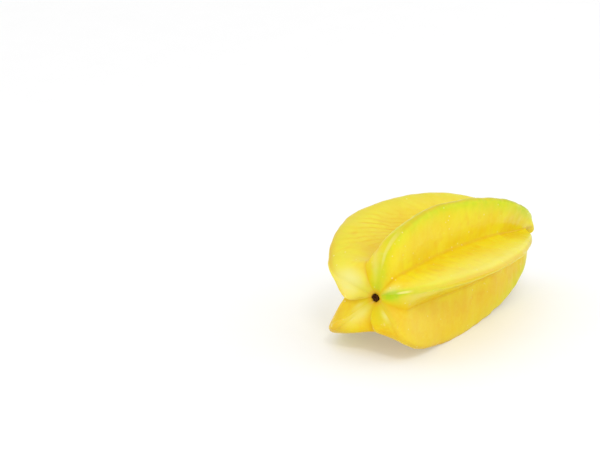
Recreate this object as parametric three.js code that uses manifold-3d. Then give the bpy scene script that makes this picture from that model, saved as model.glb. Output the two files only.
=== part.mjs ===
// Star fruit (carambola), whole and ripe, lying on two of its five ribs.
// Millimetres, +Z up. The fruit's long axis lies along X, stalk end at -X, blossom end at +X. The origin is under
// the middle of the bounding box, on the surface that the fruit lies on.
import * as THREE from 'three';
import { mergeVertices } from 'three/addons/utils/BufferGeometryUtils.js';
import Module from 'manifold-3d';

const wasm = await Module();
wasm.setup();

// ---- Driving dimensions ----

// Two profiles from the stalk end to the blossom end, as [distance along the axis, distance from the axis]. The
// crests make broad shoulders that reach back past the stalk, and the furrows meet in a hollow round it.
const crestProfile = [
  [0, 2], [-1.5, 10], [-2.5, 21.5], [6.5, 29.5], [24, 35], [42, 35.5], [68.5, 31], [89, 23], [105.5, 11.5],
  [110, 1.5],
];
const furrowProfile = [
  [0, 2], [-1.7, 7], [-0.1, 13.6], [8.9, 12.9], [24, 13], [48, 13.5], [71.5, 13], [91, 9.5], [104, 8], [108, 1],
];

// The ribs, counter-clockwise from the upright one, seen from the stalk end. angle is where a rib stands round the
// axis, in degrees from straight up, and turn is what the fruit's twist adds to it by the blossom end. height
// scales the crest profile, and sway is how far the crest wanders sideways in millimetres: each at the shoulder, at
// the middle and near the blossom end. fullness is how far the flanks swell, and reach is how much longer than the
// profile the rib grows at the blossom end. drift is how many degrees the furrow after the rib lies off the middle
// between the two crests, at the same three places.
const ribs = [
  {
    angle: -12.5, turn: -25.5, height: [1, 0.885, 0.98], sway: [-2, 1, -0.5], drift: [-5, 0, -1],
    fullness: 0.09, reach: 2.5,
  },
  {
    angle: 62.5, turn: -33, height: [0.915, 1.075, 1], sway: [4, -2, 0], drift: [-0.5, 0, 0],
    fullness: 0.13, reach: -2.5,
  },
  {
    angle: 130.5, turn: 5, height: [1.12, 1.05, 1.085], sway: [0.5, -1.5, 1], drift: [1.5, -3, 2],
    fullness: 0.08, reach: 3,
  },
  {
    angle: 223, turn: -16, height: [0.905, 0.765, 0.88], sway: [2.5, -5.5, 1], drift: [4, -1.5, 1],
    fullness: 0.03, reach: 3,
  },
  {
    angle: 293.5, turn: -12, height: [0.84, 0.915, 0.81], sway: [-0.5, -4.5, 1], drift: [-3, 1.5, 0.5],
    fullness: -0.04, reach: -2,
  },
];
const stations = [0.15, 0.5, 0.9]; // shoulder, middle and blossom end, as shares of the profiles
const twistFrom = 0.45; // where the twist starts and ends, as shares of the profiles
const twistTo = 0.97;
const reachFrom = 0.6; // where the ribs start to differ in length
const reachFadesBelow = 7; // crest height under which they end alike again, in a shallow dimple

// Flanks that grow fuller than the rest: on which rib and which side of it, how far up the flank, how far along the
// fruit, and how much thicker. Three are on the shoulder, and one is beside the blossom end.
const swellings = [
  { rib: 0, side: 1, up: 0.6, along: 0.25, thickness: 0.8 },
  { rib: 1, side: 1, up: 0.3, along: 0.13, thickness: 3 },
  { rib: 3, side: -1, up: 0.3, along: 0.11, thickness: 2.5 },
  { rib: 0, side: -1, up: 0.5, along: 0.96, thickness: 4 },
];
const swellingWidth = 0.33; // share of the flank, from the middle of a swelling outwards
const swellingLength = 0.08; // share of the fruit's length

const tipRadius = crestProfile.at(-1)[1];
const crestRadius = 0.8; // of a rib's edge, under its bead
const beadThickness = 0.35; // the swollen rim along each crest stands this far out on either side
const beadDepth = 0.05; // where the rim is thickest, as a share of the flank below the crest
const beadFadesBelow = 20; // crest height under which the rim gets thinner, towards both ends
const swayFadesBelow = 30; // crest height under which the sway gets smaller
const furrowRounding = 0.1; // share of a flank taken by the round bottom of the furrow
const furrowFilling = 0.08; // how far that bottom is filled, as a share of the furrow's depth

const socketRadius = 2; // the small pit that holds what is left of the stalk
const socketDepth = 2.2;
const stubRadius = 1.7;
const stubStandsProud = 0.6;
const gap = 0.3; // between the stub and the fruit

const blossomEndDown = 2.2; // how far the axis tips, in degrees
const restDepth = 0.5; // how much of the two lowest crests is pressed flat where the fruit lies

const slabSide = 300; // the piece that presses the fruit flat
const slabThickness = 50;

const rows = 48;
const columnsPerFlank = 8;
const socketRows = 2; // of the rows, the ones that make the socket
const stubSides = 24;

// ---- The grown shape ----

const crestCurve = new THREE.SplineCurve(crestProfile.map(([x, r]) => new THREE.Vector2(x, r)));
const furrowCurve = new THREE.SplineCurve(furrowProfile.map(([x, r]) => new THREE.Vector2(x, r)));

/** A value that eases from one station to the next along the fruit. */
function along([shoulder, middle, end], s) {
  const { smoothstep } = THREE.MathUtils;
  return (
    shoulder
    + (middle - shoulder) * smoothstep(s, stations[0], stations[1])
    + (end - middle) * smoothstep(s, stations[1], stations[2])
  );
}

/** Where a rib stands round the axis, in degrees, at s along the fruit. */
function ribAngle(ribIndex, s) {
  const { angle, turn } = ribs[(ribIndex + ribs.length) % ribs.length];
  return angle + turn * THREE.MathUtils.smoothstep(s, twistFrom, twistTo);
}

/** The angle from a rib to the furrow beside it, in radians. side is 1 counter-clockwise and -1 clockwise. */
function furrowAngle(ribIndex, side, s) {
  const between = (ribAngle(ribIndex + side, s) - ribAngle(ribIndex, s)) * side;
  const { drift } = ribs[side > 0 ? ribIndex : (ribIndex + ribs.length - 1) % ribs.length];
  return THREE.MathUtils.degToRad(THREE.MathUtils.euclideanModulo(between, 360) / 2 + side * along(drift, s));
}

/** How much fuller than the plain shape a flank is at a point of it. Swellings end at the furrow and the crest. */
function swellingAt(ribIndex, side, up, s) {
  const { smoothstep } = THREE.MathUtils;
  let total = 0;
  for (const swelling of swellings) {
    if (swelling.rib !== ribIndex || swelling.side !== side) continue;
    const across = (up - swelling.up) / swellingWidth;
    const lengthwise = (s - swelling.along) / swellingLength;
    total += swelling.thickness * Math.exp(-across * across - lengthwise * lengthwise);
  }
  const fade = 0.25; // share of the flank
  const endFade = 0.03; // share of the length
  return total * smoothstep(up, 0, fade) * smoothstep(1 - up, 0, fade)
    * smoothstep(s, 0, endFade) * smoothstep(1 - s, 0, endFade);
}

/** A point of the skin. s runs from the stalk (0) to the blossom end (1), up from the furrow (0) to the crest (1). */
function skinPoint(ribIndex, side, up, s) {
  const rib = ribs[ribIndex];
  const crest = crestCurve.getPoint(s);
  const furrow = furrowCurve.getPoint(s);
  const toFurrow = furrowAngle(ribIndex, side, s);
  const furrowHeight = furrow.y * Math.cos(toFurrow);
  const furrowAside = furrow.y * Math.sin(toFurrow);
  const rise = crest.y * along(rib.height, s) - furrowHeight;

  // The flank swells like a leaf, and closes over the crest in an arc of crestRadius.
  const down = 1 - up;
  const arc = THREE.MathUtils.clamp((2 * crestRadius * rise) / Math.max(furrowAside ** 2, 0.01), 0, 1);
  const flank = Math.sqrt(down * (arc + (1 - arc) * down)) + rib.fullness * 4 * up * down;
  const bead = Math.sqrt(down / beadDepth) * Math.exp(0.5 - (0.5 * down) / beadDepth);
  const beadHere = beadThickness * THREE.MathUtils.clamp(crest.y / beadFadesBelow, 0, 1);
  const fill = furrowFilling * Math.max(crest.y - furrow.y, 0) * Math.exp(-up / furrowRounding);
  const fuller = swellingAt(ribIndex, side, up, s);
  const swayHere = along(rib.sway, s) * THREE.MathUtils.clamp(crest.y / swayFadesBelow, 0, 1) * up ** 1.5;

  const height = furrowHeight + rise * up + fill * Math.cos(toFurrow);
  const fillAside = fill * Math.sin(toFurrow);
  const aside = side * (furrowAside * flank + beadHere * bead + fillAside + 0.8 * fuller) + swayHere;
  const reachFade = THREE.MathUtils.clamp((crest.y - tipRadius) / (reachFadesBelow - tipRadius), 0, 1);
  const crestX = crest.x + rib.reach * THREE.MathUtils.smoothstep(s, reachFrom, 1) * reachFade;
  const outwards = s < 0.5 ? -1 : 1; // a swelling also leans towards its own end of the fruit
  const angle = THREE.MathUtils.degToRad(ribAngle(ribIndex, s));
  return new THREE.Vector3(
    furrow.x + (crestX - furrow.x) * up + 0.5 * fuller * outwards,
    height * Math.sin(angle) + aside * Math.cos(angle),
    height * Math.cos(angle) - aside * Math.sin(angle),
  );
}

/** The fruit in its own frame: a sphere whose poles are the socket's floor and the blossom end. */
function fruitGeometry() {
  const columns = ribs.length * 2 * columnsPerFlank;
  const geometry = new THREE.SphereGeometry(1, columns, rows);
  const position = geometry.getAttribute('position');
  for (let row = 0; row <= rows; row += 1) {
    for (let column = 0; column <= columns; column += 1) {
      const point = spherePoint(row, column % columns);
      position.setXYZ(row * (columns + 1) + column, point.x, point.y, point.z);
    }
  }
  geometry.deleteAttribute('normal');
  geometry.deleteAttribute('uv');
  return mergeVertices(geometry, 1e-4);
}

function spherePoint(row, column) {
  if (row === 0) return new THREE.Vector3(socketDepth, 0, 0);
  if (row === rows) return new THREE.Vector3(furrowProfile.at(-1)[0], 0, 0);
  const ribIndex = Math.floor(column / (2 * columnsPerFlank));
  const step = column % (2 * columnsPerFlank);
  const side = step < columnsPerFlank ? -1 : 1;
  const share = side < 0 ? step / columnsPerFlank : 2 - step / columnsPerFlank;
  const up = 0.5 - 0.5 * Math.cos(Math.PI * share); // closer together in the furrow and over the crest
  const point = skinPoint(ribIndex, side, up, Math.max(row - socketRows, 0) / (rows - socketRows));
  return row > socketRows ? point : point.setX(0).setLength(socketRadius).setX(row === 1 ? socketDepth : 0);
}

/** The dried stump of the stalk, turned about its own axis, with a dished, broken top. */
function stubGeometry() {
  const floor = -(socketDepth - gap);
  const profile = [
    [0, floor], [stubRadius * 0.8, floor], [stubRadius, floor + 0.4], [stubRadius, 0],
    [stubRadius * 0.92, stubStandsProud * 0.75], [stubRadius * 0.7, stubStandsProud],
    [stubRadius * 0.45, stubStandsProud * 0.6], [0, stubStandsProud * 0.35],
  ].map(([r, height]) => new THREE.Vector2(r, height));
  const geometry = new THREE.LatheGeometry(profile, stubSides);
  geometry.rotateZ(Math.PI / 2); // the stalk pointed to -X
  return geometry;
}

// ---- Laid down ----

const tipped = new THREE.Matrix4().makeRotationY(THREE.MathUtils.degToRad(blossomEndDown));

function toManifold(geometry) {
  return new wasm.Manifold(new wasm.Mesh({
    numProp: 3,
    vertProperties: new Float32Array(geometry.getAttribute('position').array),
    triVerts: new Uint32Array(geometry.index.array),
  }));
}

function fromManifold(solid) {
  const mesh = solid.getMesh();
  const geometry = new THREE.BufferGeometry();
  geometry.setAttribute('position', new THREE.BufferAttribute(mesh.vertProperties, 3));
  geometry.setIndex(new THREE.BufferAttribute(mesh.triVerts, 1));
  return geometry;
}

/** Lowers the tipped fruit until restDepth of it is below the surface, and takes that away. */
function pressFlat(geometry) {
  const slab = new THREE.BoxGeometry(slabSide, slabSide, slabThickness).translate(0, 0, -slabThickness / 2);
  slab.deleteAttribute('normal');
  slab.deleteAttribute('uv');
  return fromManifold(toManifold(geometry).subtract(toManifold(mergeVertices(slab))));
}

const whole = fruitGeometry().applyMatrix4(tipped);
whole.computeBoundingBox();
const axisHeight = -whole.boundingBox.min.z - restDepth;
whole.translate(0, 0, axisHeight);

const skin = new THREE.MeshStandardMaterial({ color: '#f2d53a', roughness: 0.35, metalness: 0 });
const driedStalk = new THREE.MeshStandardMaterial({ color: '#3a2416', roughness: 0.8, metalness: 0 });

const fruit = new THREE.Mesh(pressFlat(whole), skin);
fruit.name = 'fruit';

const stalkStub = new THREE.Mesh(stubGeometry(), driedStalk);
stalkStub.name = 'stalk_stub';
stalkStub.rotation.setFromRotationMatrix(tipped);
stalkStub.position.z = axisHeight;

const starFruit = new THREE.Group();
starFruit.add(fruit, stalkStub);
const middle = new THREE.Box3().setFromObject(starFruit).getCenter(new THREE.Vector3());
starFruit.position.set(-middle.x, -middle.y, 0);

export default starFruit;
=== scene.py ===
# %% [markdown]
# # A star fruit
#
# A star fruit, or carambola, is one grown body: five ribs stand out of a small core, with a furrow between
# each two, so a slice across it is a star. This one is ripe. Its flesh is yellow and a little clear, its
# skin is thin and waxy, and green is left along some of the crests. It lies on two ribs. What is left of
# the stalk is a dark dot in the hollow that the ribs make round the stalk end.
#
# The measured model gives the fruit's place, size and plain form. This script grows a finer fruit on the
# same form, adds the small relief of the skin, and gives both pieces their finish.

# %% Load the measured model
import math
from functools import lru_cache

import bmesh
import bpy
from mathutils import Matrix, Vector, noise


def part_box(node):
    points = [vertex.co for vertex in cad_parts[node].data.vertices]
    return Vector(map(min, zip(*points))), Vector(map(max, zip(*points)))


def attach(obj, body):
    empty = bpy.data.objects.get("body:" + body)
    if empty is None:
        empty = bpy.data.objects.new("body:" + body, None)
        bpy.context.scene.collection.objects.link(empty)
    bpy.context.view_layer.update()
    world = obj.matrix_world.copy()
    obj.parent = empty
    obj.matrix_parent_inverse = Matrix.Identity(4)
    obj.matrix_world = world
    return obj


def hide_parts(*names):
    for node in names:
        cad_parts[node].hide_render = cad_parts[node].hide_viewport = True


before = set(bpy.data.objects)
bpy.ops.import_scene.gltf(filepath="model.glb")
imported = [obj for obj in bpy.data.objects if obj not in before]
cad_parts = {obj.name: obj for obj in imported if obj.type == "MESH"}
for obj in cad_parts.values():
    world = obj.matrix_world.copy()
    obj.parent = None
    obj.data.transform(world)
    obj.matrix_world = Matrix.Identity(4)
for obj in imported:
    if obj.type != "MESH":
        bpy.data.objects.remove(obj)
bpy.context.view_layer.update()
MM = 0.001
print("pieces:", sorted(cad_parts))

# %% [markdown]
# ## The form, as numbers
#
# Every rib follows the same two profiles from the stalk end to the blossom end: one for its crest, and one
# for the furrow beside it. No two ribs grow alike, though, so each has its own angle, height, sway, twist
# and reach. A reader who changes a number here gets another fruit of the same kind. The numbers are the
# measured model's own, in millimetres and degrees.

# %% Profiles: how far along the fruit, and how far from its axis
crest_profile = [
    (0, 2), (-1.5, 10), (-2.5, 21.5), (6.5, 29.5), (24, 35),
    (42, 35.5), (68.5, 31), (89, 23), (105.5, 11.5), (110, 1.5),
]
furrow_profile = [
    (0, 2), (-1.7, 7), (-0.1, 13.6), (8.9, 12.9), (24, 13),
    (48, 13.5), (71.5, 13), (91, 9.5), (104, 8), (108, 1),
]
fruit_length, tip_radius = crest_profile[-1]
stations = (0.15, 0.5, 0.9)  # shoulder, middle and blossom end, as shares of the profiles
print("length", fruit_length, "mm, crests up to", max(radius for _, radius in crest_profile), "mm high")

# %% Ribs
# Counter-clockwise from the upright rib, seen from the stalk end. Height, sway and drift have one value for
# each station. Drift is how many degrees the furrow after the rib lies off the middle between its crests.
rib_words = ("angle", "turn", "height", "sway", "drift", "fullness", "reach")
ribs = [dict(zip(rib_words, values)) for values in (
    (-12.5, -25.5, (1, 0.885, 0.98), (-2, 1, -0.5), (-5, 0, -1), 0.09, 2.5),  # top
    (62.5, -33, (0.915, 1.075, 1), (4, -2, 0), (-0.5, 0, 0), 0.13, -2.5),  # upper back
    (130.5, 5, (1.12, 1.05, 1.085), (0.5, -1.5, 1), (1.5, -3, 2), 0.08, 3),  # lower back
    (223, -16, (0.905, 0.765, 0.88), (2.5, -5.5, 1), (4, -1.5, 1), 0.03, 3),  # lower front
    (293.5, -12, (0.84, 0.915, 0.81), (-0.5, -4.5, 1), (-3, 1.5, 0.5), -0.04, -2),  # upper front
)]
top, upper_back, lower_back, lower_front, upper_front = range(5)
to_next, to_last = 1, -1  # the two sides of a rib: towards the rib after it, and towards the one before it
twist_span = (0.45, 0.97)
reach_from, reach_fades_below = 0.6, 7
sway_fades_below, sway_power = 30, 1.5  # a rib sways most at its crest
print("ribs at", [rib["angle"] for rib in ribs], "degrees")

# %% Crests, furrows and swellings
crest_radius = 0.8
bead_thickness, bead_depth = 0.35, 0.05  # the swollen rim of each crest
bead_fades_below = 20
furrow_rounding, furrow_filling = 0.1, 0.08  # a furrow has a round bottom, filled by a share of its depth
# Flanks that grow fuller than the rest: rib, side, height up the flank, share of the length, thickness.
swellings = [
    (top, to_next, 0.6, 0.25, 0.8),
    (upper_back, to_next, 0.3, 0.13, 3),
    (lower_front, to_last, 0.3, 0.11, 2.5),
    (top, to_last, 0.5, 0.96, 4),
]
swelling_width, swelling_length = 0.33, 0.08
swelling_aside, swelling_lengthwise = 0.8, 0.5  # how a swelling pushes the flank out, and along the fruit
print("swellings, mm:", [thickness for *_, thickness in swellings])

# %% [markdown]
# ## A point of the skin
#
# A grown form has no edges to draw. It could be sculpted by hand, but a formula gives the same fruit every
# time, and each of its parts can be tried alone. A point is named by its rib, its side, how far it is up
# the flank (0 in the furrow, 1 on the crest) and how far it is along the fruit (0 at the stalk, 1 at the
# blossom end). The profiles are Catmull-Rom curves, which pass through all their points. The flank swells
# out of the furrow and closes over the crest in a small arc, with a bead on it, as the skin thickens there.

# %% Curves along the fruit
def eased(value, start, end):
    """0 at the start and 1 at the end, with a soft change between them."""
    share = min(max((value - start) / (end - start), 0.0), 1.0)
    return share * share * (3.0 - 2.0 * share)


def along_stations(values, s):
    """What a value that is given at the three stations is at this share of the length."""
    shoulder, middle, end = values
    first, second = eased(s, stations[0], stations[1]), eased(s, stations[1], stations[2])
    return shoulder + (middle - shoulder) * first + (end - middle) * second


def on_curve(points, s):
    """The point this far along a Catmull-Rom curve, from the two points before it and the two after it."""
    spans = len(points) - 1
    span = min(int(s * spans), spans - 1)
    t = s * spans - span
    nearest = [points[min(max(span + step, 0), spans)] for step in (-1, 0, 1, 2)]
    return tuple(
        0.5 * (2 * q + (r - p) * t + (2 * p - 5 * q + 4 * r - w) * t**2 + (3 * q - p - 3 * r + w) * t**3)
        for p, q, r, w in zip(*nearest)
    )


@lru_cache(maxsize=None)
def profiles_at(s):
    return on_curve(crest_profile, s), on_curve(furrow_profile, s)


for s in (0.1, 0.5, 0.9):
    (crest_x, crest_r), (_, furrow_r) = profiles_at(s)
    print(f"{crest_x:5.1f} mm from the stalk: crest at {crest_r:.1f} mm, furrow at {furrow_r:.1f} mm")


# %% The skin's formula
def rib_angle(rib, s):
    return ribs[rib % 5]["angle"] + ribs[rib % 5]["turn"] * eased(s, *twist_span)


@lru_cache(maxsize=None)
def furrow_angle(rib, side, s):
    """From a rib to the furrow on one side of it, in radians."""
    drift = along_stations(ribs[rib if side == to_next else rib - 1]["drift"], s)
    return math.radians((rib_angle(rib + side, s) - rib_angle(rib, s)) * side % 360 / 2 + side * drift)


def hill(up, up_middle, up_spread, s, s_middle, s_spread):
    """A soft round hill on a flank: 1 in its middle, and about a tenth at one and a half spreads from it."""
    return math.exp(-(((up - up_middle) / up_spread) ** 2) - (((s - s_middle) / s_spread) ** 2))


def swelling_at(rib, side, up, s):
    """How much fuller the flank is here, in mm. It fades out at the furrow, the crest and both ends."""
    total = sum(
        thickness * hill(up, up_middle, swelling_width, s, s_middle, swelling_length)
        for on_rib, on_side, up_middle, s_middle, thickness in swellings
        if (rib, side) == (on_rib, on_side)
    )
    return total * eased(up, 0, 0.25) * eased(1 - up, 0, 0.25) * eased(s, 0, 0.03) * eased(1 - s, 0, 0.03)


def skin_point(rib, side, up, s):
    """A point in millimetres. The stalk is at the origin, and the blossom end lies along +X."""
    (crest_x, crest_r), (furrow_x, furrow_r) = profiles_at(s)
    reach_fade = min(max((crest_r - tip_radius) / (reach_fades_below - tip_radius), 0), 1)
    crest_x += ribs[rib]["reach"] * eased(s, reach_from, 1) * reach_fade
    to_furrow = furrow_angle(rib, side, s)
    furrow_height, furrow_aside = furrow_r * math.cos(to_furrow), furrow_r * math.sin(to_furrow)
    rise = crest_r * along_stations(ribs[rib]["height"], s) - furrow_height
    down = 1 - up
    arc = min(max(2 * crest_radius * rise / max(furrow_aside**2, 0.01), 0), 1)
    half_way = 4 * up * down  # 1 half way up the flank
    flank = math.sqrt(down * (arc + (1 - arc) * down)) + ribs[rib]["fullness"] * half_way
    bead = bead_thickness * math.sqrt(down / bead_depth) * math.exp(0.5 - 0.5 * down / bead_depth)
    bead *= min(crest_r / bead_fades_below, 1)
    fill = furrow_filling * max(crest_r - furrow_r, 0) * math.exp(-up / furrow_rounding)
    fuller = swelling_at(rib, side, up, s)
    sway = along_stations(ribs[rib]["sway"], s) * min(crest_r / sway_fades_below, 1) * up**sway_power

    height = furrow_height + rise * up + fill * math.cos(to_furrow)
    aside = side * (furrow_aside * flank + bead + fill * math.sin(to_furrow) + swelling_aside * fuller) + sway
    lengthwise = swelling_lengthwise * fuller * (1 if s > 0.5 else -1)
    angle = math.radians(rib_angle(rib, s))
    return Vector((
        furrow_x + (crest_x - furrow_x) * up + lengthwise,
        height * math.sin(angle) + aside * math.cos(angle),
        height * math.cos(angle) - aside * math.sin(angle),
    ))


print("crest of the top rib, half way along:", [round(c, 1) for c in skin_point(top, to_next, 1.0, 0.5)])

# %% [markdown]
# ## Growing the body from a sphere
#
# Star-shaped sections could be bridged one after another. A sphere from bmesh is simpler, because it has
# the right net of faces already: its north pole becomes the floor of the stalk's pit, its south pole the
# blossom end, and its meridians are shared out among the ten flanks. Moving its vertices keeps the body
# closed, with its faces pointing out. Meridians are set closer together in the furrows and over the crests,
# where the skin bends most. The first few rings make the pit. Its rim closes in a little over the gap round
# the stalk, and more so above and below it.

# %% Move a sphere's vertices onto the skin
around, rings, pit_rings = 400, 236, 5
pit_radius, pit_depth = 2.0, 2.2
wall_from, rim_from = 1, 2  # the rings where the pit's wall begins to rise, and its rim to close in
rim_radius, rim_flatter = 1.75, 0.25  # and how much less the radius is above and below the stub


def where_on_fruit(vertex):
    """The rib, side, height up the flank and share of the length of a vertex, and its ring."""
    ring = round(math.acos(max(min(vertex.co.z, 1.0), -1.0)) / math.pi * rings)
    meridian = round(math.atan2(vertex.co.y, vertex.co.x) / math.tau * around) % around
    rib, step = divmod(meridian / around * 5, 1)
    side = to_last if step < 0.5 else to_next
    share = 2 * step if side == to_last else 2 - 2 * step
    up = 0.5 - 0.5 * math.cos(math.pi * share)  # closer together at both ends of the flank
    return (int(rib), side, up, max(ring - pit_rings, 0) / (rings - pit_rings)), ring


def on_fruit(place, ring):
    """Where such a vertex goes: onto the skin, to one of its two poles or into the pit."""
    if ring in (0, rings):
        return Vector((pit_depth if ring == 0 else furrow_profile[-1][0], 0, 0))
    point = skin_point(*place)
    if ring > pit_rings:
        return point
    across = Vector((0, point.y, point.z)).normalized()
    depth = pit_depth * (1 - eased(ring, wall_from, pit_rings))
    lip = (pit_radius - rim_radius + rim_flatter * across.z**2) * eased(ring, rim_from, pit_rings)
    return across * (pit_radius - lip) + Vector((depth, 0, 0))


body = bmesh.new()
bmesh.ops.create_uvsphere(body, u_segments=around, v_segments=rings, radius=1)
places = []
for vertex in body.verts:
    place, ring = where_on_fruit(vertex)
    places.append(place)
    vertex.co = on_fruit(place, ring)
plain_points = [vertex.co.copy() for vertex in body.verts]
print("faces:", len(body.faces), "volume, cm3:", round(body.calc_volume(signed=True) / 1000, 1))

# %% [markdown]
# ## Relief that only a real skin has
#
# A formula alone looks moulded. A ripe fruit's flanks are softly uneven, faint veins cross them from furrow
# to crest, the crest is nicked where it has rubbed on other fruit, and two ribs are thicker in one place.
# None of it is much more than a millimetre high. A Displace modifier could raise one such texture, but
# these follow the ribs, so each vertex is pushed along its own normal by the sum of four small functions.
# Creases are finer than the faces of the body, so they come later, in the skin's material. Noise here comes
# from mathutils, which gives the same values every time.

# %% Small relief, in millimetres
# How high each unevenness is, how wide, and which part of the noise it reads.
unevenness = [(0.3, 17, (0, 0, 0)), (0.2, 6.5, (9, 0, 4)), (0.08, 2.6, (1, 5, 2))]
vein_spacing, vein_height, vein_slant, vein_wander = 4.6, 0.05, 4, 2.2
nick_depth, nick_size = 0.35, 5.5
lip_height, thick_rim_height = 0.9, 1.2


def lumps(point, size, which):
    """Smooth noise between -1 and 1, in lumps of about this size."""
    return noise.noise(point / size + Vector(which))


def uneven(point):
    """Broad, middling and fine unevenness, added up."""
    return sum(height * lumps(point, size, which) for height, size, which in unevenness)


def veins(point, up):
    """Low ridges across the flank, which wander, come and go, and end at the furrow and the crest."""
    wander = vein_wander * lumps(point, 11, (0, 7, 0))
    ridge = math.cos(math.tau * (point.x + wander + vein_slant * up) / vein_spacing)
    strength = max(0.0, 0.4 + lumps(point, 14, (3, 1, 8)))
    return vein_height * ridge * strength * math.sin(math.pi * up)


def nicks(point, up):
    """Small hollows in the crest, where the noise is high."""
    return -nick_depth * eased(up, 0.9, 1.0) * max(0.0, lumps(point, nick_size, (2, 2, 0)) - 0.1)


def thicker_rims(rib, side, up, s):
    """The lower back rib has a blunt lip at its shoulder, and the top rib a thick rim on its far side."""
    if rib == lower_back:
        return lip_height * eased(up, 0.93, 1.0) * math.exp(-(((s - 0.2) / 0.06) ** 2))
    if (rib, side) == (top, to_next):
        return thick_rim_height * hill(up, 0.86, 0.13, s, 0.29, 0.1)
    return 0.0


body.normal_update()
pushes = []
for vertex, (rib, side, up, s) in zip(body.verts, places):
    push = uneven(vertex.co) + veins(vertex.co, up) + nicks(vertex.co, up) + thicker_rims(rib, side, up, s)
    pushes.append(push * eased(s, 0.0, 0.05) * (1 - eased(s, 0.97, 1.0)))  # both ends stay as they are
for vertex, push in zip(body.verts, pushes):
    vertex.co += vertex.normal * push
print(f"relief from {min(pushes):.2f} to {max(pushes):.2f} mm")

# %% [markdown]
# ## Colour that follows growth, and painted light
#
# A star fruit ripens from the furrows outwards, so green stays longest on the crests, most at both ends.
# Crests also go brown first where the fruit lies or is handled, and creased skin dries to a tan. The ribs
# don't ripen together either: the lower ones are more orange, and the lower front rib's deep amber is also
# painted shade, as that rib faces down. Local patches paint more light and shade: highlights on rounded
# parts and shade beside the furrows. All this depends on where a point is on its rib, not on where it is in
# space. It could be painted by hand on an unwrapped map. Rules are quicker to change, so here each vertex
# stores the result of some rules as attributes, beside its height up the flank and its share of the length.

# %% How each crest has ripened
# How green each crest is, and how browned, at the shoulder, at the middle and near the blossom end.
crest_green = {
    top: (0.35, 0.8, 1.0),
    upper_back: (0.0, 0.3, 0.5),
    lower_back: (0.0, 0.1, 0.4),
    lower_front: (0.0, 0.1, 0.5),
    upper_front: (0.6, 0.2, 0.2),
}
crest_browned = {
    top: (0.0, 0.45, 0.1),
    upper_back: (0.0, 0.4, 0.4),
    lower_back: (0.1, 0.4, 0.3),
    lower_front: (0.15, 0.4, 0.2),
    upper_front: (0.0, 0.45, 0.25),
}
# How ripe the whole rib is, from 0, a plain yellow, to 1, a deep amber. The lower front rib's value is
# partly painted shade, as that rib faces down.
ripeness_and_shade = {top: 0.2, upper_back: 0.3, lower_back: 0.35, lower_front: 0.8, upper_front: 0.2}
print("green half way along the crests:", [greens[1] for greens in crest_green.values()])

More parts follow.
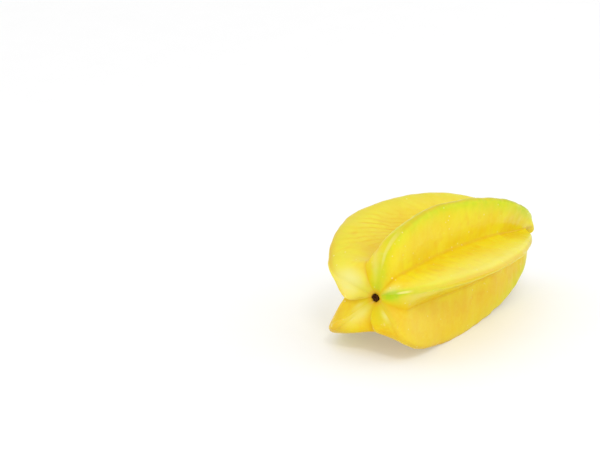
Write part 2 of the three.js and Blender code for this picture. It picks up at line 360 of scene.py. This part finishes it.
# %% Local colour, which no rule gives
# On what rib and side, where up the flank and how far it spreads, where along the fruit and how far it
# spreads, and how strong it is.
local_colour = {
    "green": [
        (upper_front, to_last, 0.7, 0.5, 0.12, 0.08, 0.75),  # round the crest, beside the stalk
        (upper_front, to_next, 0.9, 0.4, 0.12, 0.07, 0.5),
        (lower_front, to_last, 0.6, 0.5, 0.11, 0.05, 0.25),
        (top, to_next, 0.6, 0.5, 0.12, 0.1, 0.3),
        (top, to_last, 0.6, 0.5, 0.12, 0.08, 0.25),
        (upper_back, to_last, 0.9, 0.6, 0.25, 0.3, 0.2),
        (lower_front, to_next, 0.8, 0.5, 0.85, 0.15, 0.2),
        (upper_front, to_next, 1.0, 0.3, 0.9, 0.1, 0.3),
    ],
    # Most pale patches are painted highlights and sheen on rounded, lit parts: shoulders, crests near the
    # stalk and flanks.
    "pale_and_highlight": [
        (top, to_next, 0.75, 0.2, 0.18, 0.08, 0.35),
        (top, to_last, 0.4, 0.3, 0.38, 0.2, 0.12),
        # painted highlight on the swollen shoulder
        (upper_back, to_last, 0.8, 0.45, 0.155, 0.06, 0.85),  # the swollen shoulder
        (upper_back, to_next, 0.9, 0.45, 0.15, 0.06, 0.75),
        (lower_back, to_next, 0.8, 0.4, 0.11, 0.06, 0.55),
        (lower_back, to_last, 0.85, 0.2, 0.09, 0.03, 0.4),
        (lower_front, to_last, 0.95, 0.15, 0.105, 0.03, 0.6),
        (lower_front, to_next, 0.5, 0.5, 0.3, 0.2, 0.15),
        (upper_front, to_next, 0.6, 0.35, 0.13, 0.06, 0.4),
        (upper_front, to_next, 0.45, 0.2, 0.17, 0.04, 0.2),
        (upper_front, to_last, 0.65, 0.35, 0.3, 0.1, 0.45),
        (upper_front, to_next, 0.85, 0.4, 0.5, 0.25, 0.4),
    ],
    "browned": [
        (upper_back, to_last, 1.0, 0.06, 0.3, 0.07, 0.35),
        (lower_back, to_last, 0.7, 0.45, 0.21, 0.08, 0.55),
        (lower_back, to_next, 0.95, 0.4, 0.23, 0.06, 0.5),
        (top, to_last, 0.95, 0.3, 0.86, 0.1, 0.1),
    ],
    # Most amber patches are painted shade: beside hidden furrows, in the furrows by the stalk, along the
    # outline and low on the lower front rib.
    "amber": [
        # painted shade in a gold band beside the hidden furrow
        (upper_back, to_last, 0.0, 0.36, 0.42, 0.16, 0.75),  # beside the creases
        (upper_back, to_last, 0.8, 0.5, 0.68, 0.15, 0.2),
        # painted shade on the top rib's flank, beside the furrow it hides
        (top, to_next, 0.8, 0.15, 0.3, 0.1, 0.7),
        # painted shade low on the lower front rib, which faces down
        (lower_front, to_next, 0.85, 0.3, 0.42, 0.18, 0.4),
        (lower_front, to_next, 0.6, 0.4, 0.16, 0.06, 0.2),
        (lower_front, to_last, 0.8, 0.35, 0.2, 0.05, 0.6),
        # painted shade along the upper back crest, where it forms the outline
        (upper_back, to_last, 1.0, 0.12, 0.4, 0.3, 0.5),
        # painted shade in the furrows beside the stalk, from here on
        (top, to_next, 0.0, 0.3, 0.15, 0.1, 0.5),  # from here on, the furrows beside the stalk
        (upper_back, to_last, 0.0, 0.15, 0.15, 0.1, 0.5),
        (top, to_last, 0.0, 0.25, 0.12, 0.1, 0.4),
        (upper_front, to_next, 0.0, 0.25, 0.12, 0.1, 0.4),
        (upper_front, to_last, 0.0, 0.2, 0.16, 0.08, 0.4),
        (lower_front, to_next, 0.0, 0.25, 0.14, 0.08, 0.5),
        (upper_back, to_next, 0.0, 0.45, 0.15, 0.1, 0.8),
        (lower_back, to_last, 0.0, 0.35, 0.12, 0.1, 0.9),
        (lower_back, to_next, 0.0, 0.25, 0.12, 0.1, 0.8),
        (lower_front, to_last, 0.0, 0.2, 0.12, 0.1, 0.8),
    ],
}


def local_at(layer, rib, side, up, s):
    """All the soft patches of one kind of colour that reach this point of their flank."""
    return sum(
        strength * hill(up, up_middle, up_spread, s, s_middle, s_spread)
        for on_rib, on_side, up_middle, up_spread, s_middle, s_spread, strength in local_colour[layer]
        if (on_rib, on_side) == (rib, side)
    )


print("local patches:", {layer: len(rows) for layer, rows in local_colour.items()})

# %% [markdown]
# ### The rules
#
# Each rule gives one number between 0 and about 1 for a point of the skin. Green and brown fade from the
# crest down the flank, in a band whose width is a share of the flank's height. Two more things are
# particular to this fruit: the upper back rib is dull and pale, and its flank beside the top rib is
# creased. The pale rule also paints highlights: a short one on the edge of two green crests, and those of
# the local pale patches. Creases aren't square to the fruit. They lean, so they are drawn on a share of the
# length that is bent in the same way.

# %% Green, browned and pale skin, and painted highlights
# The bands have a width for each station, and the green one grows much wider beside the stalk.
green_band, green_band_at_stalk = (0.15, 0.15, 0.35), 0.45
browned_band = (0.035, 0.02, 0.03)
dull_rib_pale, top_edge_highlight, front_edge_glint = 0.12, 0.4, 0.8


def green_at(rib, side, up, s):
    band = along_stations(green_band, s) + green_band_at_stalk * (1 - eased(s, 0.04, 0.22))
    crest = along_stations(crest_green[rib], s) * math.exp(-(((1 - up) / band) ** 1.3))
    return min(crest + local_at("green", rib, side, up, s), 1.0)


def browned_at(rib, side, up, s):
    """Rubbed crests are browned in a thin line, and not on the shoulder, which nothing touches."""
    edge = math.exp(-(((1 - up) / along_stations(browned_band, s)) ** 1.6)) * eased(s, 0.06, 0.14)
    return along_stations(crest_browned[rib], s) * edge + local_at("browned", rib, side, up, s)


def pale_and_highlight_at(rib, side, up, s):
    """The upper back rib is dull and pale. Two green crests get a short painted highlight on their edge, and
    the local pale patches add painted highlights.
    """
    own = 0.0
    edge = eased(up, 0.985, 0.999)
    if rib == top:
        own = edge * top_edge_highlight * eased(s, 0.14, 0.2) * (1 - eased(s, 0.28, 0.36))
    elif rib == upper_front:
        own = edge * front_edge_glint * eased(s, 0.14, 0.18) * (1 - eased(s, 0.21, 0.25))
    elif rib == upper_back:
        own = dull_rib_pale
    return own + local_at("pale_and_highlight", rib, side, up, s)


print("green on the top rib's crest, half way along:", green_at(top, to_next, 1.0, 0.5))

# %% Creased skin, and ripe skin with painted shade
crease_lean = 0.22


def bent_at(up, s):
    """The share of the length again, for creases: they lean to the blossom end as they near the furrow."""
    return s - crease_lean * (1 - up) ** 2


def creased_at(rib, side, up, s):
    """How strongly the skin is creased: only one flank is, in its middle."""
    if (rib, side) != (upper_back, to_last):
        return 0.0
    bent = bent_at(up, s)
    return eased(bent, 0.26, 0.36) * (1 - eased(bent, 0.42, 0.6)) * (1 - eased(up, 0.7, 0.95))


def ripe_and_shade_at(rib, side, up, s):
    """Each rib has its own ripeness, which on the lower front rib is partly painted shade. In a furrow it is
    half way between those of the two ribs.
    """
    own, beside = ripeness_and_shade[rib], ripeness_and_shade[(rib + side) % 5]
    return own + (beside - own) * 0.5 * (1 - eased(up, 0.0, 0.5))


print("ripeness beside the top rib:", [ripe_and_shade_at(top, side, 0, 0.5) for side in (to_next, to_last)])

# %% Store the results on the vertices
rules = {
    "up": lambda rib, side, up, s: up,
    "along": lambda rib, side, up, s: s,
    "bent": lambda rib, side, up, s: bent_at(up, s),
    "green": green_at,
    "browned": browned_at,
    "pale_and_highlight": pale_and_highlight_at,
    "creased": creased_at,
    "ripe_and_shade": ripe_and_shade_at,
    "amber": lambda *place: local_at("amber", *place),
}
for name, rule in rules.items():
    layer = body.verts.layers.float.new(name)
    for vertex, place in zip(body.verts, places):
        vertex[layer] = rule(*place)
print("attributes:", sorted(rules))

# %% [markdown]
# ## Laying the fruit down
#
# The body was grown round its own axis. A real fruit settles on two neighbouring ribs, with its heavy
# middle over them, and the ribs give a little where they touch. So the body is tipped and moved onto the
# place of the measured piece, whose box says where that is, and what would be under the surface is pressed
# flat.

# %% Tip, place and press flat
blossom_end_down = math.radians(2.2)
tip = Matrix.Rotation(blossom_end_down, 4, "Y") @ Matrix.Scale(MM, 4)
low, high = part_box("fruit")
laid = [tip @ point for point in plain_points]
middle = [(min(p[axis] for p in laid) + max(p[axis] for p in laid)) / 2 for axis in (0, 1)]
shift = Vector((
    (low[0] + high[0]) / 2 - middle[0],
    (low[1] + high[1]) / 2 - middle[1],
    high[2] - max(p.z for p in laid),
))
lay_down = Matrix.Translation(shift) @ tip
body.transform(lay_down)
under = [vertex for vertex in body.verts if vertex.co.z < low[2]]
for vertex in under:
    vertex.co.z = low[2]
print(f"moved by {[round(c / MM, 2) for c in shift]} mm, {len(under)} vertices pressed flat")


# %% Make the fruit's object
def finished(mesh_work, name, smooth=True):
    """Turns a bmesh into an object at the origin, with its place in its mesh."""
    mesh = bpy.data.meshes.new(name)
    mesh_work.normal_update()
    mesh_work.to_mesh(mesh)
    mesh_work.free()
    for polygon in mesh.polygons:
        polygon.use_smooth = smooth
    piece = bpy.data.objects.new(name, mesh)
    bpy.context.scene.collection.objects.link(piece)
    return piece


fruit = finished(body, "ripe_fruit")
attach(fruit, "root")
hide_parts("fruit")
triangles = sum(len(polygon.vertices) - 2 for polygon in fruit.data.polygons)
print("fruit:", len(fruit.data.vertices), "vertices,", triangles, "triangles")

# %% [markdown]
# ## What is left of the stalk
#
# The stalk dries and snaps off, and its last two or three millimetres stay in the pit: a dark, woody plug
# with a raised ring of bark round a dished, fibrous end. It is round, so its outline is spun about its
# axis, as on a lathe. Then its vertices are moved a little, so that no two sides are alike: its edge is
# torn, fibres run along it, and its broken end is grainy. It is also a little narrower than it was spun,
# most of all from top to bottom.

# %% Spin the stub
gap_under_stub = 0.3
stub_bottom = gap_under_stub - pit_depth
stub_outline = [  # radius and height, from the middle of its bottom to the middle of its broken end
    (0.0, stub_bottom), (1.3, stub_bottom), (1.66, -1.6), (1.68, -0.8), (1.66, 0.0), (1.6, 0.35),
    (1.45, 0.55), (1.25, 0.52), (1.05, 0.36), (0.8, 0.3), (0.5, 0.36), (0.25, 0.24), (0.0, 0.2),
]
stub_work = bmesh.new()
outline = [stub_work.verts.new((radius, 0, height)) for radius, height in stub_outline]
edges = [stub_work.edges.new(pair) for pair in zip(outline, outline[1:])]
bmesh.ops.spin(
    stub_work, geom=outline + edges, cent=(0, 0, 0), axis=(0, 0, 1), angle=math.tau, steps=64, use_merge=True,
)
bmesh.ops.remove_doubles(stub_work, verts=stub_work.verts, dist=0.001)
bmesh.ops.subdivide_edges(stub_work, edges=stub_work.edges, cuts=1, use_grid_fill=True, smooth=0.6)
print("stub:", len(stub_work.verts), "vertices")

# %% Roughen it and set it in the pit
# Noise is read round the stub and slowly along it, so lumps run lengthwise. It all fades out in the pit.
torn, fibrous, grainy = 0.2, 0.05, 0.09
narrower, narrower_from_top = 0.05, 0.09
for vertex in stub_work.verts:
    point = vertex.co.copy()
    turn = math.atan2(point.y, point.x)
    rim = (math.cos(turn), math.sin(turn))
    ragged = torn * noise.noise(Vector((*rim, point.z / 6)) * 1.6 + Vector((4, 0, 0)))
    fibres = fibrous * noise.noise(Vector((*rim, 0)) * 5 + Vector((0, 0, point.z / 3)))
    grain = grainy * noise.noise(point / 0.4)
    narrowing = narrower + narrower_from_top * abs(math.cos(turn))
    vertex.co *= 1 + (ragged + fibres - narrowing) * eased(point.z, -1.6, 0.2)
    vertex.co.z += (2 * ragged + fibres + grain) * eased(point.z, -0.4, 0.3)
bmesh.ops.recalc_face_normals(stub_work, faces=stub_work.faces)
to_stalk_end = Matrix.Rotation(-math.pi / 2, 4, "Y")  # the stalk pointed to -X
stub_work.transform(lay_down @ to_stalk_end)
stub = finished(stub_work, "dried_stalk_end")
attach(stub, "root")
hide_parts("stalk_stub")
print("stub, mm:", [round(side / MM, 1) for side in stub.dimensions])

# %% [markdown]
# ## Finishes
#
# Colours are written as the sRGB hex values that a paint chart or a screen shows, and Blender's shaders
# work in linear light, so one function turns the one into the other. A second small function adds a node
# with its settings and its links, so that each material reads as a list of what it is made of.

# %% Helpers for colours and nodes
def linear(hex_colour):
    """sRGB hex, such as f6dc3c, as linear red, green, blue and alpha."""
    channels = (int(hex_colour[i:i + 2], 16) / 255 for i in (0, 2, 4))
    return (*(c / 12.92 if c <= 0.04045 else ((c + 0.055) / 1.055) ** 2.4 for c in channels), 1.0)


def add_node(tree, kind, inputs=None, output=0, **settings):
    """Adds a node and gives back one of its outputs. An input is a value, or the output of another node."""
    node = tree.nodes.new(kind)
    for name, value in settings.items():
        setattr(node, name, value)
    for key, value in (inputs or {}).items():
        if isinstance(value, bpy.types.NodeSocket):
            tree.links.new(value, node.inputs[key])
        else:
            node.inputs[key].default_value = value
    return node.outputs[output] if node.outputs else node


def new_material(name):
    material = bpy.data.materials.new(name)
    material.use_nodes = True
    material.node_tree.nodes.clear()
    return material, material.node_tree


def give(piece, material):
    piece.data.materials.clear()
    piece.data.materials.append(material)


print("ripe yellow in linear light:", [round(c, 3) for c in linear("f6dc3c")[:3]])

# %% [markdown]
# ### Waxy skin over clear flesh
#
# The real skin is thinner than paper, smooth and waxed by the fruit itself, over flesh that light enters.
# To the eye that gives a soft glow in the thin ribs, a deeper and more orange yellow in the furrows, where
# light passes through flesh twice, and small sharp highlights. In the shader that is subsurface scattering
# of a few millimetres, a roughness near 0.35 and a thin smooth coat for the wax. Waxed skin has an IOR of
# about 1.4. Some of this light and shade is also painted into the colour: shade in the furrows and in the
# stalk's hollow, highlights on rounded parts and crests, and glints as pale specks.
#
# The masks come first. Most are noise on Object coordinates. These are metres, so the scale of a noise is
# one over the real size of its patches.

# %% Attributes and patches
skin, tree = new_material("waxy_carambola_skin")
place = add_node(tree, "ShaderNodeTexCoord", output="Object")
up, along, bent, green, browned, pale_and_highlight, creased, ripe_and_shade, amber = (
    add_node(tree, "ShaderNodeAttribute", output="Fac", attribute_name=name) for name in rules
)
# Patches of several sizes, in metres, with their detail and the values seen as 0 and 1. Mottles stand apart.
patches = {}
for size_name, size, detail, least, most in (
    ("fingertip", 0.018, 2.0, 0.38, 0.62),
    ("bean", 0.0075, 2.0, 0.42, 0.66),
    ("lentil", 0.0036, 3.0, 0.35, 0.65),
    ("pinhead", 0.0012, 3.0, 0.3, 0.7),
    ("mottle", 0.004, 1.0, 0.52, 0.76),
):
    spread = add_node(
        tree, "ShaderNodeTexNoise", {"Vector": place, "Scale": 1 / size, "Detail": detail}, "Fac"
    )
    patches[size_name] = add_node(
        tree, "ShaderNodeMapRange", {"Value": spread, "From Min": least, "From Max": most},
        interpolation_type="SMOOTHSTEP",
    )
print("patches:", sorted(patches))

# %% [markdown]
# ### Veins, creases and specks
#
# Veins feed the flesh. They show through the skin as faint lines from furrow to crest, a couple of
# millimetres apart. One flank has also shrunk a little as it dried, and its skin lies in small creases.
# Both follow the skin, so they are drawn on the attributes: a noise that is stretched up the flank for the
# veins, and evenly numbered rows for the creases, with some noise added, so that they wander. They could be
# modelled, but they are finer than the faces of the body. Specks are painted glints: pale dots that stand
# for sparkles of light on small bumps of the wax. A Voronoi texture gives such round dots, scattered and
# never touching.

# %% Veins, from furrow to crest
vein_width = 1.8  # mm
veins_in_all = fruit_length / vein_width
vein_length = add_node(tree, "ShaderNodeMath", {0: along, 1: veins_in_all}, operation="MULTIPLY")
vein_place = add_node(tree, "ShaderNodeCombineXYZ", {"X": vein_length, "Y": up, "Z": ripe_and_shade})
vein_waves = add_node(tree, "ShaderNodeTexNoise", {"Vector": vein_place, "Scale": 1.0, "Detail": 2.0}, "Fac")
print("veins along the fruit:", round(veins_in_all))

# %% Creases, across one flank
# The rows are numbered along the fruit. Half way between two whole numbers is the bottom of a crease.
crease_rows = 37  # as many as would fit on the whole length, 3 mm apart
crease_wander = add_node(
    tree, "ShaderNodeMapRange", {"Value": patches["fingertip"], "To Min": -0.3, "To Max": 0.3}
)
crease_wander = add_node(
    tree, "ShaderNodeMath", {0: patches["bean"], 1: 0.12, 2: crease_wander}, operation="MULTIPLY_ADD"
)
crease_row = add_node(
    tree, "ShaderNodeMath", {0: bent, 1: crease_rows, 2: crease_wander}, operation="MULTIPLY_ADD"
)
crease_row = add_node(tree, "ShaderNodeMath", {0: crease_row}, operation="FRACT")
crease_off = add_node(tree, "ShaderNodeMath", {0: crease_row, 1: 0.5}, operation="SUBTRACT")
crease_off = add_node(tree, "ShaderNodeMath", {0: crease_off}, operation="ABSOLUTE")
# Some creases are deep and some hardly start.
uneven_creases = add_node(
    tree, "ShaderNodeMapRange", {"Value": patches["bean"], "To Min": 0.55, "To Max": 0.1}
)
creased_here = add_node(tree, "ShaderNodeMath", {0: creased, 1: uneven_creases}, operation="MULTIPLY")
print("creases every", round(fruit_length / crease_rows, 1), "mm")

# %% Painted glints, drawn as pale specks
# Up to 0.8 mm wide and 3 mm apart, and only here and there.
glint_speck_spacing = 0.003
glint_speck_distance = add_node(
    tree, "ShaderNodeTexVoronoi",
    {"Vector": place, "Scale": 1 / glint_speck_spacing, "Randomness": 1.0}, "Distance",
)
glint_speck_clusters = add_node(
    tree, "ShaderNodeMapRange", {"Value": patches["bean"], "From Min": 0.3, "From Max": 0.05}
)
print("specks:", glint_speck_spacing / MM, "mm apart")

# %% Soft ramps
# What each reads, where it is 0, where it is full, and how much that is.
ramps = {}
for ramp_name, value, start, end, most in (
    ("up the rib", up, 0.35, 0.95, 0.35),
    # painted shade in the furrow, and a painted darker line at its bottom
    ("furrow", up, 0.14, 0.0, 0.6),
    ("furrow line", up, 0.1, 0.0, 0.35),
    ("clear of the crest", up, 0.9, 0.6, 0.3),
    # the crest edges' own deeper green, and painted shade where they form the outline
    ("very edge", up, 0.955, 0.99, 0.45),
    ("stalk ring", along, 0.01, 0.0, 0.3),
    ("amber ring", along, 0.05, 0.012, 0.65),
    # painted shade in the stalk's hollow
    ("hollow", along, 0.16, 0.03, 0.5),
    ("clear of the stalk", along, 0.08, 0.2, 1.0),
    ("past the middle", along, 0.62, 0.82, 1.0),
    ("blossom tip", along, 0.985, 0.998, 0.7),
    ("veins", vein_waves, 0.45, 0.75, 0.2),
    ("creases", crease_off, 0.3, 0.0, 1.0),
    ("fine grain", patches["pinhead"], 0.0, 1.0, 0.2),
    # painted glints, as pale specks
    ("specks", glint_speck_distance, 0.15, 0.06, 0.45),
):
    ramps[ramp_name] = add_node(
        tree, "ShaderNodeMapRange", {"Value": value, "From Min": start, "From Max": end, "To Max": most},
        interpolation_type="SMOOTHSTEP",
    )
print("ramps:", len(ramps))

# %% [markdown]
# ### Coats of colour
#
# The skin starts as plain yellow. Each line of the list lays one more thing over it: what it is, the mask
# that says how much of it shows, a second mask that it keeps within, if any, and its colour. Several coats
# are painted light and shade: shade in the furrows, in the stalk's hollow and on the lower front rib, a
# darker rim on the far crest edges, highlights on rounded parts, and glints.

# %% Lay the colours over each other
broken_green = add_node(
    tree, "ShaderNodeMapRange", {"Value": patches["lentil"], "To Min": 0.7, "To Max": 1.05}
)
coats = [
    ("deeper yellow in patches", patches["fingertip"], None, "e4c913"),
    # amber of riper ribs, and on the lower front rib partly painted shade, as it faces down
    ("amber on riper ribs, partly painted shade", ripe_and_shade, patches["bean"], "e2b615"),
    ("amber through the ripest ribs, partly painted shade", ripe_and_shade, ripe_and_shade, "e3b91a"),
    ("paler where the rib is thin", ramps["up the rib"], None, "e5dc37"),
    # painted shade in the furrow
    ("painted shade, orange yellow in the furrow", ramps["furrow"], None, "e1ba05"),
    # painted amber shade beside hidden furrows, in the furrows by the stalk and along the outline
    ("painted amber shade beside furrows and outlines", amber, None, "d9a512"),
    # painted darker shade line at the bottom of the furrow
    ("painted shade line along the furrow bottom", ramps["furrow line"], ramps["clear of the stalk"], "d6a505"),
    ("veins", ramps["veins"], ramps["clear of the stalk"], "deb412"),
    ("a fine grain", ramps["fine grain"], patches["lentil"], "e9dc3e"),
    ("orange mottles", patches["mottle"], ramps["clear of the crest"], "dfa90e"),
    # painted shade in the stalk's hollow
    ("painted shade in the stalk's hollow", ramps["hollow"], None, "c9b40f"),
    ("green along the crest", green, broken_green, "b0c80c"),
    # the crest edges' own deeper green, and painted shade where they form the outline
    ("deeper green and painted rim shade on far edges", ramps["very edge"], ramps["past the middle"], "93a30a"),
    # the upper back rib's own dull paleness, and painted highlights and sheen elsewhere
    ("dull pale skin and painted highlights", pale_and_highlight, None, "e5de83"),
    ("creases", ramps["creases"], creased_here, "dba820"),
    ("brown where it rubbed", browned, None, "cf9832"),
    ("amber round the stalk", ramps["amber ring"], None, "dba11a"),
    ("cork at the edge of the pit", ramps["stalk ring"], None, "9e6d15"),
    ("dry blossom end", ramps["blossom tip"], None, "816323"),
    # painted glints, as pale specks, in clusters
    ("painted glints in specks", ramps["specks"], glint_speck_clusters, "f0e9bc"),
]
colour = linear("e7d71c")
for what, share, within, hex_colour in coats:
    if within is not None:
        share = add_node(tree, "ShaderNodeMath", {0: share, 1: within}, operation="MULTIPLY")
    colour = add_node(
        tree, "ShaderNodeMix", {0: share, 6: colour, 7: linear(hex_colour)}, output=2,
        data_type="RGBA", label=what,
    )
print("coats of colour:", len(coats))

# %% [markdown]
# ### Gloss and relief
#
# A waxed skin feels smooth, but light shows its pores, the oil cells under it and its creases. All are a
# small part of a millimetre deep. Modelled, they would need millions of faces, so Bump nodes tilt the
# shading instead, each from the height of what it draws. Wax lies unevenly, so gloss isn't one number
# either: it changes over a few millimetres.

# %% Gloss and relief of the skin
roughness = add_node(tree, "ShaderNodeMapRange", {"Value": patches["lentil"], "To Min": 0.28, "To Max": 0.42})
# The bottom of a furrow mirrors its own yellow walls and hardly any white, so its wax is drawn very thin.
wax = add_node(
    tree, "ShaderNodeMapRange", {"Value": up, "From Max": 0.25, "To Min": 0.01, "To Max": 0.17},
    interpolation_type="SMOOTHSTEP",
)
# Pores are 0.6 mm apart and oil cells under the skin about 2 mm. Both are drawn a little coarser, to show.
pore_spacing, cell_size = 0.0007, 0.0024
pores = add_node(
    tree, "ShaderNodeTexNoise", {"Vector": place, "Scale": 1 / pore_spacing, "Detail": 2.0}, "Fac",
)
cells = add_node(
    tree, "ShaderNodeTexVoronoi", {"Vector": place, "Scale": 1 / cell_size}, "Distance", feature="SMOOTH_F1",
)
crease_depth = add_node(tree, "ShaderNodeMath", {0: ramps["creases"], 1: creased_here}, operation="MULTIPLY")
relief = add_node(tree, "ShaderNodeBump", {"Height": pores, "Strength": 0.15, "Distance": 0.0001})
relief = add_node(
    tree, "ShaderNodeBump", {"Height": cells, "Strength": 0.3, "Distance": 0.0003, "Normal": relief},
)
relief = add_node(
    tree, "ShaderNodeBump", {"Height": crease_depth, "Strength": 0.25, "Distance": 0.0005, "Normal": relief},
    invert=True,
)
print("pores and cells, mm:", pore_spacing / MM, cell_size / MM)

# %% The skin's shader
# Red light goes 3 mm into the flesh, green 2 mm and blue half a millimetre, so a thin rib glows yellow.
shader = add_node(tree, "ShaderNodeBsdfPrincipled", {
    "Base Color": colour,
    "Roughness": roughness,
    "Normal": relief,
    "IOR": 1.4,
    "Specular IOR Level": 0.08,
    "Subsurface Weight": 0.4,
    "Subsurface Radius": (1.0, 0.7, 0.16),
    "Subsurface Scale": 0.003,
    "Coat Weight": wax,
    "Coat Roughness": 0.06,
    "Coat IOR": 1.42,
})
add_node(tree, "ShaderNodeOutputMaterial", {"Surface": shader})
give(fruit, skin)
print("skin:", len(tree.nodes), "nodes")

# %% [markdown]
# ### Dried stalk
#
# Dead plant fibre, almost black brown, with a paler brown grain all over it. It is matt: no wax is
# left on it. Wood fibre has an IOR of about 1.5.

# %% The stub's material
dried, tree = new_material("dried_woody_stalk")
place = add_node(tree, "ShaderNodeTexCoord", output="Object")
fibre_width = 0.0004  # real fibres are finer than a tenth of a millimetre, and wouldn't show
fibres = add_node(
    tree, "ShaderNodeTexNoise", {"Vector": place, "Scale": 1 / fibre_width, "Detail": 4.0}, "Fac",
)
fibre_share = add_node(tree, "ShaderNodeMapRange", {"Value": fibres, "From Min": 0.45, "From Max": 0.75})
colour = add_node(
    tree, "ShaderNodeMix", {0: fibre_share, 6: linear("2e1403"), 7: linear("6b4416")}, output=2,
    data_type="RGBA",
)
relief = add_node(tree, "ShaderNodeBump", {"Height": fibres, "Strength": 0.6, "Distance": 0.00015})
shader = add_node(tree, "ShaderNodeBsdfPrincipled", {
    "Base Color": colour, "Roughness": 0.7, "IOR": 1.5, "Specular IOR Level": 0.06, "Normal": relief,
})
add_node(tree, "ShaderNodeOutputMaterial", {"Surface": shader})
give(stub, dried)
print("stub:", len(tree.nodes), "nodes")

# %% [markdown]
# ## Table, light and camera
#
# A fruit on white needs very soft light from nearly all round, or its yellow goes brown in the furrows. A
# white world gives that. One lamp high above the camera gives the skin its highlights and the ribs a lit
# and a shaded side, a large weak one on the right opens the shade, and a small low one on the left adds a
# sparkle. The table is a sheet of white opal acrylic with a little light under it, as is used to picture
# fruit on white: the shadow stays soft and pale, and the fruit's underside isn't dull.

# %% Table
table_work = bmesh.new()
bmesh.ops.create_grid(table_work, x_segments=1, y_segments=1, size=4.0)
table = finished(table_work, "white_table", smooth=False)
opal, tree = new_material("matt_opal_acrylic_lit_from_below")
place = add_node(tree, "ShaderNodeTexCoord", output="Object")
cloud_size = 0.02  # opal acrylic is faintly cloudy
clouds = add_node(tree, "ShaderNodeTexNoise", {"Vector": place, "Scale": 1 / cloud_size}, "Fac")
colour = add_node(
    tree, "ShaderNodeMix", {0: clouds, 6: linear("d8d8d8"), 7: linear("d5d5d5")}, output=2, data_type="RGBA",
)
shader = add_node(tree, "ShaderNodeBsdfPrincipled", {
    "Base Color": colour, "Roughness": 0.8, "Emission Color": linear("ffffff"), "Emission Strength": 0.25,
})
add_node(tree, "ShaderNodeOutputMaterial", {"Surface": shader})
give(table, opal)
print("table:", [round(side, 1) for side in table.dimensions], "m")

# %% White world
world = bpy.data.worlds.new("white_room")
world.use_nodes = True
background = world.node_tree.nodes["Background"]
background.inputs["Color"].default_value = (1, 1, 1, 1)
background.inputs["Strength"].default_value = 1.0
bpy.context.scene.world = world
bpy.context.scene.view_settings.view_transform = "Standard"
print("world:", world.name)

# %% Lamps
fruit_middle = Vector((0, 0, 0.02))


def lamp(name, where, side, watts):
    """A square soft lamp of this side, in metres, aimed at the middle of the fruit."""
    light = bpy.data.lights.new(name, "AREA")
    light.shape, light.size, light.energy = "SQUARE", side, watts
    holder = bpy.data.objects.new(name, light)
    holder.location = where
    holder.rotation_euler = (fruit_middle - Vector(where)).to_track_quat("-Z", "Y").to_euler()
    bpy.context.scene.collection.objects.link(holder)
    return holder


lamps = [
    lamp("key", (-0.45, -0.4, 0.65), 0.18, 1.4),
    lamp("fill", (0.5, -0.6, 0.4), 0.6, 1.0),
    lamp("sparkle", (-0.83, 0.34, 0.1), 0.07, 0.6),
]
print("lamps:", [holder.name for holder in lamps])

# %% [markdown]
# ## Camera
#
# The camera looks along the fruit from its stalk end, a little down, through a long lens, so the ribs show
# almost without perspective. The fruit lies right of the middle of the picture and below it, so the camera
# aims at a point beside and above the fruit.

# %% Camera
picture_width, sensor_width = 600, 36.0
bearing, downward = math.radians(31.9), math.radians(19.9)  # from +X towards +Y, and below the horizon
distance, pixels_per_mm = 1250 * MM, 2.475
seen_point = lay_down @ Vector((45, 0, 0))  # a point on the fruit's axis
right_of_middle, below_middle = 137.4, 42.55  # where that point shows, in pixels

forward = Vector((
    math.cos(bearing) * math.cos(downward), math.sin(bearing) * math.cos(downward), -math.sin(downward),
))
right = Vector((math.sin(bearing), -math.cos(bearing), 0))
above = right.cross(forward)
pixel = MM / pixels_per_mm
camera_data = bpy.data.cameras.new("long_lens")
camera_data.sensor_width = sensor_width
camera_data.lens = distance / pixel * sensor_width / picture_width
camera = bpy.data.objects.new("camera", camera_data)
camera.location = seen_point - forward * distance
aim = seen_point - right * right_of_middle * pixel + above * below_middle * pixel
camera.rotation_euler = (aim - camera.location).to_track_quat("-Z", "Y").to_euler()
bpy.context.scene.collection.objects.link(camera)
bpy.context.scene.camera = camera
print(f"lens {camera_data.lens:.0f} mm, {distance:.2f} m away")
